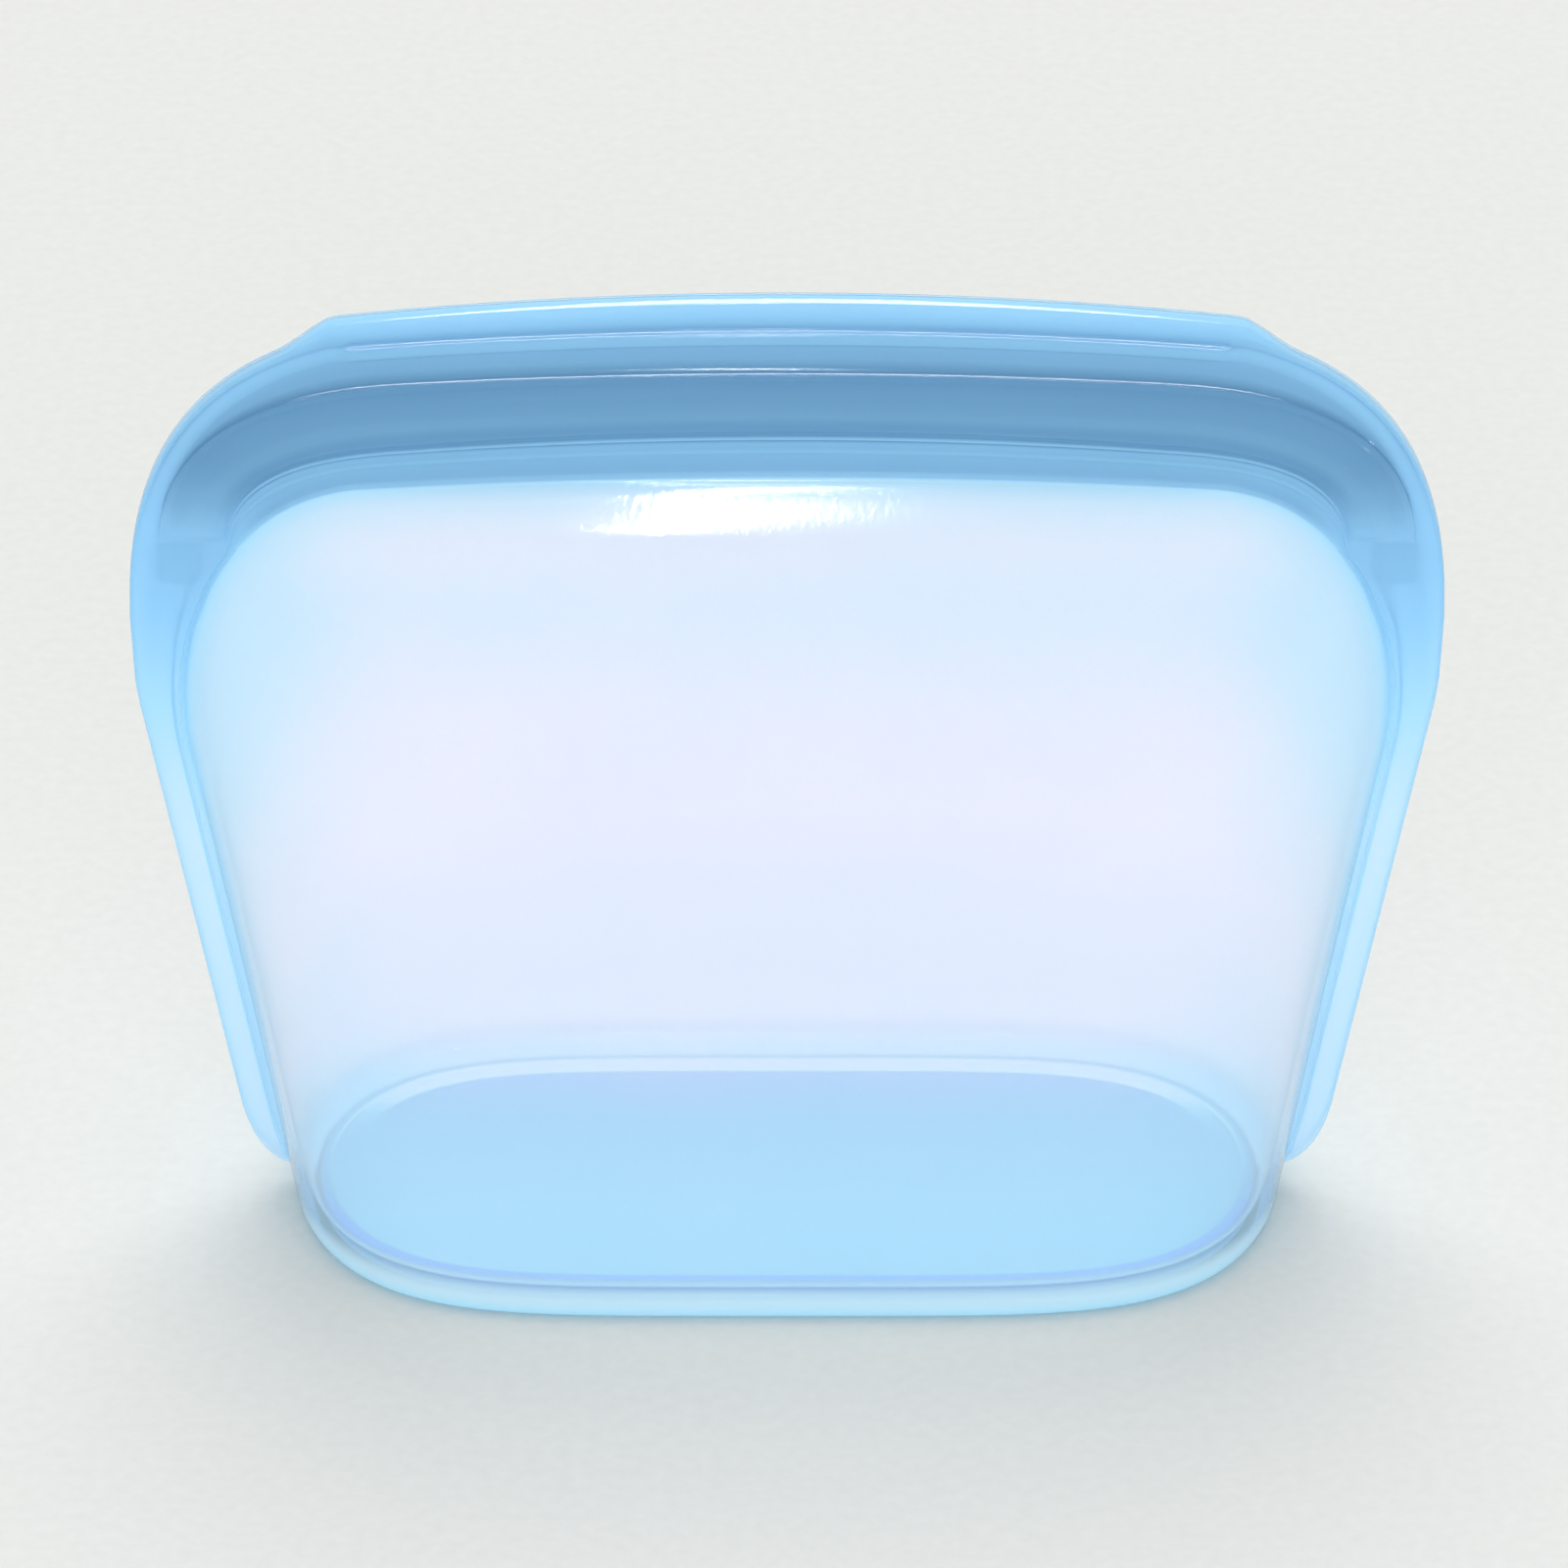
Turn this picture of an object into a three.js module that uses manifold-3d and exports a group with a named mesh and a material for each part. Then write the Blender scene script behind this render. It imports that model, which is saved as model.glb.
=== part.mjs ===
// A reusable stand-up silicone bag, closed and standing on its foot ring.
// Millimetres. +Z is up, -Y is the front and +X is to the right. The origin is under the middle of the base.
// The two halves meet on the plane y = 0. Below SPLIT_Z they are bonded; above it they part as lips.
import * as THREE from 'three';
import { mergeVertices } from 'three/addons/utils/BufferGeometryUtils.js';
import Module from 'manifold-3d';

const wasm = await Module();
wasm.setup();

// ---- driving dimensions ----

const GAP = 0.3; // between neighbouring pieces
const HALF_GAP = GAP / 2;
const WALL = 2; // thickness of the pouch wall
const SPLIT_Z = 126; // the lips are free above this height

// The stadium-shaped base and the pouch above it
const BASE_HALF_LENGTH = 82.9;
const BASE_HALF_DEPTH = 41.8;
const WALL_LEAN = 16; // how far the wall leans in over its height
const WALL_BELLY = 20.5; // how far its curve takes it in besides
const POUCH_HEIGHT = 136;
const SHOULDER_Z = 134; // the pouch rounds over above this height
const SHOULDER_HEIGHT = 4.8;

// Foot ring and base panel
const FOOT_HEIGHT = 5;
const FOOT_WIDTH = 7.3;
const FOOT_ROUND = 2.5;
const PANEL_UNDERSIDE = 1.2;
const PANEL_THICKNESS = 2;

// Thickness of one half's plates, outwards from the plane y = 0
const FLANGE = 2;
const LIP = 2;
const LOWER_BAND = 2.1;
const CLOSURE_BLOCK = 3.2;
const GRIP_LEDGE = 2.7;
const GRIP_TAB = 1.8;

// The press seal
const RIB_DEPTH = 1.5;
const GROOVE_DEPTH = 2;
const RIB_CLEARANCE = 0.08; // each side of a rib, as a share of the closure block's height
const RIBS = { upper: [0.2, 0.34], lower: [0.62, 0.76] }; // shares of the block's height, from its top
const RIB_START_Z = 129.5;

// Grip ledge and tab
const LEDGE_HALF_LENGTH = 72;
const LEDGE_HEIGHT = 3.5;
const TAB_TOP_Z = 171.6;

// End stops
const STOP_HALF_THICKNESS = 1.2;
const STOP = { left: 95.2, right: 103, bottom: 118, top: 125.5, round: 1.5 };

const SILICONE = { color: 0x8fc8ee, roughness: 0.25, metalness: 0 };

// ---- the lines that run over the bag, as seen from the front ----

// Each line is a right-hand half: it climbs from a foot point, rounds the corner on one cubic curve,
// and ends in a shallow crown over the middle.
const LINES = {
  outline: { corner: [[107.4, 112], [107.4, 132.5], [102.3, 155.8], [74, 163.6]], crown: 166.9 },
  ridge: { corner: [[102, 129], [101.5, 141.3], [93, 154.5], [62, 156.3]], crown: 158.2 },
  track: { corner: [[91.5, 127], [91, 139.3], [80, 143.8], [60, 145]], crown: 147.5 },
  pouch: { corner: [[98.6, 89], [100.5, 107.3], [93, 133.8], [70, 136.4]], crown: 138.7 },
};
const SIDE_TOP = [106.9, 98.9]; // where the flange's straight outer edge ends
const SIDE_FOOT = [92, 17];
const FLANGE_FOOT = [84.8, 4.6];
const FLANGE_FOOT_BULGE = [89.8, 6.8];

const vec = ([x, z]) => new THREE.Vector2(x, z);

// The corner and the crown of a line, from the right-hand side to the middle
function cornerAndCrown({ corner, crown }, steps = 12) {
  const round = new THREE.CubicBezierCurve(...corner.map(vec)).getPoints(steps);
  const [endX, endZ] = corner[3];
  const middle = new THREE.QuadraticBezierCurve(
    vec([endX, endZ]), vec([endX / 2, crown]), vec([0, crown]),
  ).getPoints(6);
  return [...round, ...middle.slice(1)];
}

// A closed outline, mirrored about x = 0, from a right-hand half that ends on the middle
function mirrored(half) {
  const left = half.slice(0, -1).reverse().map((p) => new THREE.Vector2(-p.x, p.y));
  return [...half, ...left];
}

// Everything under a line, down to the height floor, which is below the start of every corner
function under(line, floor = 60) {
  const half = cornerAndCrown(line);
  return mirrored([vec([half[0].x, floor]), ...half]);
}

// The line part of the way from one line to another
function between(a, b, share) {
  const mix = (p, q) => p + (q - p) * share;
  return {
    corner: a.corner.map(([x, z], i) => [mix(x, b.corner[i][0]), mix(z, b.corner[i][1])]),
    crown: mix(a.crown, b.crown),
  };
}

// The same line moved outwards by a distance
function grown({ corner, crown }, distance) {
  const curve = new THREE.CubicBezierCurve(...corner.map(vec));
  const moved = corner.map(([x, z], i) => {
    const tangent = curve.getTangent(i / 3);
    return [x + tangent.y * distance, z - tangent.x * distance];
  });
  return { corner: moved, crown: crown + distance };
}

function pouchOutline(extra = 0) {
  const half = cornerAndCrown(grown(LINES.pouch, extra));
  return mirrored([vec([BASE_HALF_LENGTH + extra, 0]), ...half]);
}

function flangeOutline() {
  const foot = new THREE.QuadraticBezierCurve(
    vec(FLANGE_FOOT), vec(FLANGE_FOOT_BULGE), vec(SIDE_FOOT),
  ).getPoints(6);
  return mirrored([...foot, vec(SIDE_TOP), ...cornerAndCrown(LINES.outline)]);
}

// ---- solids ----

function solid(geometry) {
  geometry.deleteAttribute('normal');
  geometry.deleteAttribute('uv');
  const merged = mergeVertices(geometry, 1e-4);
  return new wasm.Manifold(new wasm.Mesh({
    numProp: 3,
    vertProperties: new Float32Array(merged.attributes.position.array),
    triVerts: new Uint32Array(merged.index.array),
  }));
}

function geometryOf(manifold) {
  const { vertProperties, triVerts } = manifold.getMesh();
  const geometry = new THREE.BufferGeometry();
  geometry.setAttribute('position', new THREE.BufferAttribute(vertProperties, 3));
  geometry.setIndex(new THREE.BufferAttribute(triVerts, 1));
  return geometry;
}

function box([x0, y0, z0], [x1, y1, z1]) {
  const geometry = new THREE.BoxGeometry(x1 - x0, y1 - y0, z1 - z0);
  geometry.translate((x0 + x1) / 2, (y0 + y1) / 2, (z0 + z1) / 2);
  return solid(geometry);
}

const FAR = 200; // beyond the bag in every direction
const aboveSplit = () => box([-FAR, -FAR, SPLIT_Z + HALF_GAP], [FAR, FAR, FAR]);
const belowSplit = () => box([-FAR, -FAR, -FAR], [FAR, FAR, SPLIT_Z - HALF_GAP]);

// side is -1 for the front half and 1 for the back half
const halfSpace = (side) => (side < 0
  ? box([-FAR, -FAR, -FAR], [FAR, -HALF_GAP, FAR])
  : box([-FAR, HALF_GAP, -FAR], [FAR, FAR, FAR]));

// An outline seen from the front, given a thickness from near to far off the plane y = 0
function slab(points, side, near, far) {
  const geometry = new THREE.ExtrudeGeometry(new THREE.Shape(points), { depth: far - near, bevelEnabled: false });
  geometry.rotateX(Math.PI / 2);
  geometry.translate(0, side < 0 ? -near : far, 0);
  return solid(geometry);
}

const plate = (points, side, far) => slab(points, side, HALF_GAP, far);

// ---- the pouch, as a stack of level sections ----

const RING_POINTS = 56;

function halfWidth(z) {
  const half = [vec([BASE_HALF_LENGTH, 0]), ...cornerAndCrown(LINES.pouch, 24)];
  const i = half.findIndex((p) => p.y >= z);
  const [low, high] = [half[i - 1] ?? half[0], half[i]];
  return low.x + (high.x - low.x) * (z - low.y) / Math.max(high.y - low.y, 1e-6);
}

function halfDepth(z) {
  const wall = (level) => {
    const share = level / POUCH_HEIGHT;
    return BASE_HALF_DEPTH - WALL_LEAN * share - WALL_BELLY * share * share;
  };
  const over = Math.max(0, z - SHOULDER_Z) / SHOULDER_HEIGHT;
  return wall(Math.min(z, SHOULDER_Z)) * Math.sqrt(1 - over * over);
}

// A level section: a stadium at the base that becomes a lens at the throat
function section(z, inset) {
  const share = Math.min(z / POUCH_HEIGHT, 1);
  const flatness = 5 - share; // how straight the section runs along its middle
  const roundness = 2 - 0.75 * share; // how blunt its two ends are
  const [length, depth] = [halfWidth(z) - inset, halfDepth(z) - inset];
  return Array.from({ length: RING_POINTS }, (_, i) => {
    const angle = 2 * Math.PI * i / RING_POINTS;
    const along = Math.cos(angle);
    const across = Math.max(0, 1 - Math.abs(along) ** flatness) ** (1 / roundness);
    return [length * along, depth * Math.sign(Math.sin(angle)) * across, z];
  });
}

// A closed solid through level rings of equal length, from the lowest to the highest
function loft(rings) {
  const count = rings[0].length;
  const centre = (ring) => [0, 0, ring[0][2]];
  const positions = [...rings.flat(), centre(rings[0]), centre(rings.at(-1))].flat();
  const [bottom, top] = [rings.length * count, rings.length * count + 1];
  const index = [];
  for (let i = 0; i < count; i += 1) {
    const next = (i + 1) % count;
    for (let r = 0; r < rings.length - 1; r += 1) {
      const [a, b] = [r * count + i, r * count + next];
      index.push(a, b, b + count, a, b + count, a + count);
    }
    index.push(bottom, next, i);
    index.push(top, top - 2 - count + 1 + i, top - 2 - count + 1 + next);
  }
  const geometry = new THREE.BufferGeometry();
  geometry.setAttribute('position', new THREE.Float32BufferAttribute(positions, 3));
  geometry.setIndex(index);
  return solid(geometry);
}

function pouchShell() {
  const levels = [FOOT_HEIGHT + GAP, 18, 36, 54, 72, 86, 98, 108, 116, 122, 127, 131, 134, 136, 137, 138];
  const outer = loft(levels.map((z) => section(z, 0)));
  const innerLevels = levels.filter((z) => z < 136.5);
  const inner = loft([section(FOOT_HEIGHT, WALL), ...innerLevels.map((z) => section(z, WALL))]);
  return outer.subtract(inner);
}

// ---- fixed pieces ----

function footRing() {
  const rounding = Array.from({ length: 5 }, (_, i) => {
    const angle = (i / 4) * (Math.PI / 2);
    return section(FOOT_ROUND * (1 - Math.cos(angle)), FOOT_ROUND * (1 - Math.sin(angle)));
  });
  const outer = loft([...rounding, section(FOOT_HEIGHT, 0)]);
  const floorTop = PANEL_UNDERSIDE + PANEL_THICKNESS;
  const fillet = Array.from({ length: 5 }, (_, i) => {
    const angle = (i / 4) * (Math.PI / 2);
    return section(
      floorTop + (FOOT_HEIGHT - floorTop) * (1 - Math.cos(angle)),
      FOOT_WIDTH - (FOOT_WIDTH - WALL) * Math.sin(angle),
    );
  });
  const bowl = loft([...fillet, section(FOOT_HEIGHT + 1, WALL)]);
  const hole = loft([section(0, FOOT_WIDTH), section(FOOT_HEIGHT, FOOT_WIDTH)].map(
    (ring, i) => ring.map(([x, y]) => [x, y, i ? FOOT_HEIGHT : -1]),
  ));
  return outer.subtract(bowl).subtract(hole);
}

const basePanel = () => loft([PANEL_UNDERSIDE, PANEL_UNDERSIDE + PANEL_THICKNESS].map(
  (z) => section(z, FOOT_WIDTH + GAP),
));

const pouchWall = (side) => pouchShell().intersect(halfSpace(side)).intersect(belowSplit());

function stopOutline(end, inset) {
  const { round } = STOP;
  const [x0, x1] = [STOP.left + inset, STOP.right - inset];
  const [z0, z1] = [STOP.bottom + inset, STOP.top - inset];
  const shape = new THREE.Shape();
  shape.moveTo(x0 + round, z0).lineTo(x1 - round, z0);
  shape.absarc(x1 - round, z0 + round, round, -Math.PI / 2, 0);
  shape.lineTo(x1, z1).lineTo(x0, z1).lineTo(x0, z0 + round);
  shape.absarc(x0 + round, z0 + round, round, Math.PI, 1.5 * Math.PI);
  const points = shape.getPoints(4);
  return end > 0 ? points : points.map((p) => new THREE.Vector2(-p.x, p.y)).reverse();
}

// end is -1 for the left-hand side and 1 for the right-hand side
const endStop = (end) => slab(stopOutline(end, GAP), -1, GAP - STOP_HALF_THICKNESS, STOP_HALF_THICKNESS - GAP);

function flange(side, end) {
  const whole = plate(flangeOutline(), side, FLANGE)
    .subtract(slab(pouchOutline(GAP), side, 0, FLANGE + 1))
    .intersect(belowSplit());
  const pocket = slab(stopOutline(end, 0), -1, -STOP_HALF_THICKNESS, STOP_HALF_THICKNESS);
  const half = end < 0 ? box([-FAR, -FAR, -FAR], [0, FAR, FAR]) : box([0, -FAR, -FAR], [FAR, FAR, FAR]);
  return whole.intersect(half).subtract(pocket);
}

// ---- pieces of one lip ----

const throatWall = (side) => pouchShell().intersect(halfSpace(side)).intersect(aboveSplit());

// The plate between two lines, above the split
function strip(outer, inner, side, far) {
  return plate(under(outer), side, far)
    .subtract(slab(under(grown(inner, GAP)), side, 0, far + 1))
    .intersect(aboveSplit());
}

const lowerBand = (side) => strip(LINES.track, LINES.pouch, side, LOWER_BAND)
  .subtract(slab(pouchOutline(GAP), side, 0, LOWER_BAND + 1));

function grooves(side) {
  return Object.values(RIBS).map(([top, bottom]) => slab(
    under(between(LINES.ridge, LINES.track, top - RIB_CLEARANCE)), side, 0, GROOVE_DEPTH,
  ).subtract(slab(
    under(between(LINES.ridge, LINES.track, bottom + RIB_CLEARANCE)), side, -1, GROOVE_DEPTH + 1,
  )));
}

function closureBlock(side) {
  const block = strip(LINES.ridge, LINES.track, side, CLOSURE_BLOCK);
  return side < 0 ? grooves(side).reduce((rest, groove) => rest.subtract(groove), block) : block;
}

// A press rib stands on the back half and reaches into the front half's groove
function pressRib([top, bottom]) {
  return slab(under(between(LINES.ridge, LINES.track, top)), -1, HALF_GAP, RIB_DEPTH)
    .subtract(slab(under(between(LINES.ridge, LINES.track, bottom)), -1, -1, RIB_DEPTH + 1))
    .intersect(box([-FAR, -FAR, RIB_START_Z], [FAR, FAR, FAR]));
}

const lowered = ({ corner, crown }, drop) => ({
  corner: corner.map(([x, z]) => [x, z - drop]), crown: crown - drop,
});

// The lip strip gives way to the grip ledge along its top
function lipStrip(side) {
  const reach = LEDGE_HALF_LENGTH + GAP;
  const overLedge = box([-reach, -FAR, SPLIT_Z], [reach, FAR, FAR])
    .subtract(slab(under(lowered(LINES.outline, LEDGE_HEIGHT + GAP)), side, -1, LIP + 1));
  return strip(LINES.outline, LINES.ridge, side, LIP).subtract(overLedge);
}

function gripLedge(side) {
  return plate(under(LINES.outline), side, GRIP_LEDGE)
    .subtract(slab(under(lowered(LINES.outline, LEDGE_HEIGHT)), side, 0, GRIP_LEDGE + 1))
    .intersect(box([-LEDGE_HALF_LENGTH, -FAR, SPLIT_Z], [LEDGE_HALF_LENGTH, FAR, FAR]));
}

// The tab stands on the outline and ends in an S-curve at each side
function gripTab(side) {
  const end = new THREE.CubicBezierCurve(
    vec([83, 161.7]), vec([78.5, 164.3]), vec([78, 167.4]), vec([69, 167.9]),
  ).getPoints(8);
  const crown = new THREE.QuadraticBezierCurve(
    vec([69, 167.9]), vec([34.5, TAB_TOP_Z]), vec([0, TAB_TOP_Z]),
  ).getPoints(8);
  const half = [vec([83, 150]), ...end, ...crown.slice(1)];
  return plate(mirrored(half), side, GRIP_TAB)
    .subtract(slab(under(grown(LINES.outline, GAP)), side, 0, GRIP_TAB + 1));
}

// ---- the bag ----

const bag = new THREE.Group();

function add(name, piece) {
  const mesh = new THREE.Mesh(geometryOf(piece), new THREE.MeshStandardMaterial(SILICONE));
  mesh.name = name;
  bag.add(mesh);
}

add('base_panel', basePanel());
add('foot_ring', footRing());
add('left_end_stop', endStop(-1));
add('right_end_stop', endStop(1));
for (const [name, side] of [['front', -1], ['back', 1]]) {
  add(`${name}_wall`, pouchWall(side));
  add(`${name}_left_flange`, flange(side, -1));
  add(`${name}_right_flange`, flange(side, 1));
  add(`${name}_throat_wall`, throatWall(side));
  add(`${name}_lower_band`, lowerBand(side));
  add(`${name}_closure_block`, closureBlock(side));
  add(`${name}_lip_strip`, lipStrip(side));
  add(`${name}_grip_ledge`, gripLedge(side));
  add(`${name}_grip_tab`, gripTab(side));
}
for (const [name, span] of Object.entries(RIBS)) {
  add(`${name}_press_rib`, pressRib(span));
}

export default bag;
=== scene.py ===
# %% [markdown]
# # A stand-up silicone bag
# The bag is moulded in one soft, see-through silicone. Two halves, front and back, meet on the plane
# y = 0. Their sides are bonded into flat flanges, and above the bond they part as two thick lips.
# We load the measured frame first, because every piece has to sit where the frame says.

# %% Load the frame
import math

import bmesh
import bpy
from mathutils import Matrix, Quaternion, Vector
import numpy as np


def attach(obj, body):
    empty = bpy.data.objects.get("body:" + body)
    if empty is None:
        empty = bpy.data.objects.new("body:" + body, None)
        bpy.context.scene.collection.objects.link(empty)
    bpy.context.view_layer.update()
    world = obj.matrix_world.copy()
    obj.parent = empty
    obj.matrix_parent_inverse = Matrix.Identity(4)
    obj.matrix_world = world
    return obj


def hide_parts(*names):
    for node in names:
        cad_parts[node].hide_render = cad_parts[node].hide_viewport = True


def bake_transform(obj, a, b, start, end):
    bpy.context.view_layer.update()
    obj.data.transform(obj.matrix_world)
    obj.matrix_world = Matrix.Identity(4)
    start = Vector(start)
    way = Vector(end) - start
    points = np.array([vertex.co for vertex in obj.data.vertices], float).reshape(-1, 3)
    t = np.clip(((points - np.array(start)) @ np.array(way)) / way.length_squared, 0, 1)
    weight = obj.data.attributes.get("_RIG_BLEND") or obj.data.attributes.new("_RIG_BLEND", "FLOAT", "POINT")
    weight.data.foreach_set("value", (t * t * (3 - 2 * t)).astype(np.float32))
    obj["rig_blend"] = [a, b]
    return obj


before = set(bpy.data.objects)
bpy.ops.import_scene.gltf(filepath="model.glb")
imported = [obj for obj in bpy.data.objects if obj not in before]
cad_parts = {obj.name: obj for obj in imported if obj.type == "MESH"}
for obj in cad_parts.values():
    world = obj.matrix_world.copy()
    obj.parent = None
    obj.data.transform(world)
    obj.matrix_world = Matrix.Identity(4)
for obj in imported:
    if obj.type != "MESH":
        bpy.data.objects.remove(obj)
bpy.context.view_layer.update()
MM = 0.001

# %% [markdown]
# ## The lines that run over the bag
# Seen from the front, a few lines carry the whole design: the outline of the lips, the ridge over the
# seal, the foot of the seal's track, and the edge of the pouch. Each climbs the side, rounds the corner
# on one cubic curve and ends in a shallow crown. Sizes are in millimetres, as on the drawing.

# %% Driving dimensions
WALL = 2.0
SPLIT_Z = 126.0  # the two lips are free above this height
BASE_HALF_LENGTH = 82.9
BASE_HALF_DEPTH = 41.8
WALL_LEAN = 16.0  # how far the wall leans in over its height
WALL_BELLY = 20.5  # how far its curve takes it in besides
POUCH_HEIGHT = 136.0
SHOULDER_Z = 127.0  # the pouch rounds over above this height
SHOULDER_HEIGHT = 11.7
FOOT_WIDTH = 7.3
FOOT_END_WIDTH = 3.6
PARTING = 0.1  # half the gap between the front and back halves

# Each line is a right-hand half: the corner's cubic curve, then the height of its crown in the middle
LINES = {
    "outline": (((107.4, 112), (107.4, 132.5), (102.3, 155.8), (74, 163.6)), 166.9),
    "ridge": (((102, 126.5), (102, 140.5), (93, 154.5), (62, 156.3)), 158.2),
    "track": (((91.5, 126), (91, 139.3), (80, 143.8), (60, 145)), 147.5),
    "pouch": (((98.6, 89), (100.5, 107.3), (93, 133.8), (70, 136.4)), 138.7),
}
SIDE_TOP = (106.9, 98.9)  # where the flange's straight outer edge ends
SIDE_FOOT = (92.0, 17.0)
FLANGE_FOOT = (84.8, 5.4)
FLANGE_FOOT_BULGE = (89.8, 7.4)
SIDE_END_Z = {"outline": SPLIT_Z, "pouch": 124.7}  # where the corner takes over from the side
print("lines drawn:", ", ".join(LINES))

# %% Small helpers for lengths and curves
TINY = 1e-6


def mix(a, b, share):
    return a + (b - a) * share


def mix_points(p, q, share):
    return tuple(mix(a, b, share) for a, b in zip(p, q))


def smooth(value):
    t = min(max(value, 0.0), 1.0)
    return t * t * (3 - 2 * t)


def bezier(points, t):
    while len(points) > 1:
        points = [mix_points(p, q, t) for p, q in zip(points, points[1:])]
    return points[0]


def curve(points, steps):
    return [bezier(points, i / steps) for i in range(steps + 1)]


print("half way up the outline's corner:", bezier(LINES["outline"][0], 0.5))

# %% A line's side, as a width at each height
CORNER_STEPS, FOOT_STEPS = 48, 12


def polyline(line):
    rounded = curve(LINES[line][0], CORNER_STEPS)
    if line == "pouch":
        return [(BASE_HALF_LENGTH, 0.0), *rounded]
    foot = curve((FLANGE_FOOT, FLANGE_FOOT_BULGE, SIDE_FOOT), FOOT_STEPS)
    return [*foot, SIDE_TOP, *rounded]


POLYLINES = {line: polyline(line) for line in ("outline", "pouch")}


def width_at(line, z):
    points = POLYLINES[line]
    for low, high in zip(points, points[1:]):
        if z <= high[1]:
            return mix(low[0], high[0], max(z - low[1], 0) / max(high[1] - low[1], TINY))
    crown = LINES[line][1]
    end_x, end_z = points[-1]
    rise = min(max((z - end_z) / (crown - end_z), 0), 1)
    return end_x * math.sqrt(1 - rise)


print("half width at 100 mm:", {line: round(width_at(line, 100), 1) for line in POLYLINES})

# %% A line's corner and crown, as a walk from the side to the middle
HALVINGS = 30


def corner_start(line):
    """The share of the corner curve that already belongs to the side."""
    if line not in SIDE_END_Z:
        return 0.0
    low, high = 0.0, 1.0
    for _ in range(HALVINGS):
        middle = (low + high) / 2
        if bezier(LINES[line][0], middle)[1] < SIDE_END_Z[line]:
            low = middle
        else:
            high = middle
    return low


CORNER_START = {line: corner_start(line) for line in LINES}


def on_corner(line, share):
    return bezier(LINES[line][0], mix(CORNER_START[line], 1, share))


def on_crown(line, share):
    corner, crown = LINES[line]
    end_x, end_z = corner[3]
    return bezier(((end_x, end_z), (end_x / 2, crown), (0, crown)), share)


print("corner starts at", {line: round(share, 2) for line, share in CORNER_START.items()})

# %% [markdown]
# ## The pouch
# The base is a stadium and the throat is a thin lens, so a level section changes from one to the other
# on the way up. One formula gives the section: how straight it runs along its middle and how blunt its
# ends are both fall with the height.

# %% The pouch's level section
FLATNESS = (5, 4)  # how straight a section runs, at the foot and at the top
ROUNDNESS = (2, 1.25)  # how blunt its ends are, at the foot and at the top
LEAST_LENGTH = 1e-3  # so that nothing is divided by a section that has shrunk away


def wall_depth(z):
    share = z / POUCH_HEIGHT
    return BASE_HALF_DEPTH - WALL_LEAN * share - WALL_BELLY * share * share


def half_depth(z):
    over = min(max(z - SHOULDER_Z, 0) / SHOULDER_HEIGHT, 1)
    return wall_depth(min(z, POUCH_HEIGHT)) * math.sqrt(1 - over * over)


def across(z, along):
    """The depth of the section at a share of its half length, as a share of its half depth."""
    height = min(z / POUCH_HEIGHT, 1)
    flatness = mix(*FLATNESS, height)
    roundness = mix(*ROUNDNESS, height)
    return max(0.0, 1 - min(abs(along), 1) ** flatness) ** (1 / roundness)


def wall_y(x, z, inset):
    length = max(width_at("pouch", z) - inset, LEAST_LENGTH)
    return max(half_depth(z) - inset, 0) * across(z, x / length)


def foot_point(angle, z, inset, end_inset=None):
    along = math.cos(angle)
    end_inset = inset if end_inset is None else end_inset
    length, depth = width_at("pouch", z) - end_inset, half_depth(z) - inset
    return length * along, depth * across(z, along), z


print("half depth at the foot, half way and at the seal:", [round(half_depth(z), 1) for z in (0, 68, 134)])

# %% [markdown]
# ## Where the columns stand
# A half is a sheet of columns. Each column starts on the edge of the lip or flange, runs across the
# flat band, over the pouch's wall and under the foot. The columns stand close together where a detail
# ends: at the foot of the flange, at the ends of the seal, and at the ends of the grip tab.

# %% The columns of one side
def even_rest(stops, count):
    """Ends a list of shares that starts closely spaced with even steps to 1."""
    last = stops[-1]
    return [*stops, *[last + (1 - last) * i / count for i in range(1, count + 1)]]


# Heights above the flange's foot, then shares of the corner and of the crown
SIDE_COLUMNS = [0, 0.4, 1.2, 2.4, 4, 6, 8.4, 11.5, 15, *range(19, 111, 4), 114, 116.5, 118, 119.1, 120.0]
CORNER_COLUMNS = even_rest([0.01, 0.02, 0.032, 0.045, 0.06, 0.08], 25)
CROWN_COLUMNS = even_rest([0.012, 0.03, 0.045, 0.055, 0.065, 0.085], 22)
POUCH_SIDE_FOOT = 5.0
SIDE_SPAN = SIDE_END_Z["outline"] - FLANGE_FOOT[1]
POUCH_SIDE_SPAN = SIDE_END_Z["pouch"] - POUCH_SIDE_FOOT
LENGTHS = {"side": 120.0, "corner": 55.0, "crown": 74.0}  # measured along the outline
ARCH_LENGTH = sum(LENGTHS.values())

# Where the lip's lines pass at the foot of the flange, as shares of its width
FOOT_SHARES = {"root": 0.13, "ledge": 0.25, "ridge": 0.38, "track": 0.66, "fine": 0.8}
TAB_FULL_X, TAB_END_X = 71.5, 83.0
TAB_HEIGHT, TAB_END_HEIGHT = 4.7, 3.7
LEDGE_DROP = 3.5
EDGE_INSET = 0.8
LIP_FADE = 0.08  # share of the corner over which the lip's relief comes in
FINE_SHARE = 0.39  # of the way from the track down to the pouch
EDGE_STEP = {"side": 1.9, "lip": 2.1}  # how thick the pouch's edge is beside the flange and under the lips
EDGE_FADE = 0.2  # share of the side over which it thickens
print("side, corner and crown columns:", len(SIDE_COLUMNS), len(CORNER_COLUMNS), len(CROWN_COLUMNS))

# %% A column above the side
def tab_height(x):
    rise = mix(TAB_HEIGHT, TAB_END_HEIGHT, min(x / TAB_FULL_X, 1) ** 2)
    return rise * (1 - smooth((x - TAB_FULL_X) / (TAB_END_X - TAB_FULL_X)))


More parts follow.
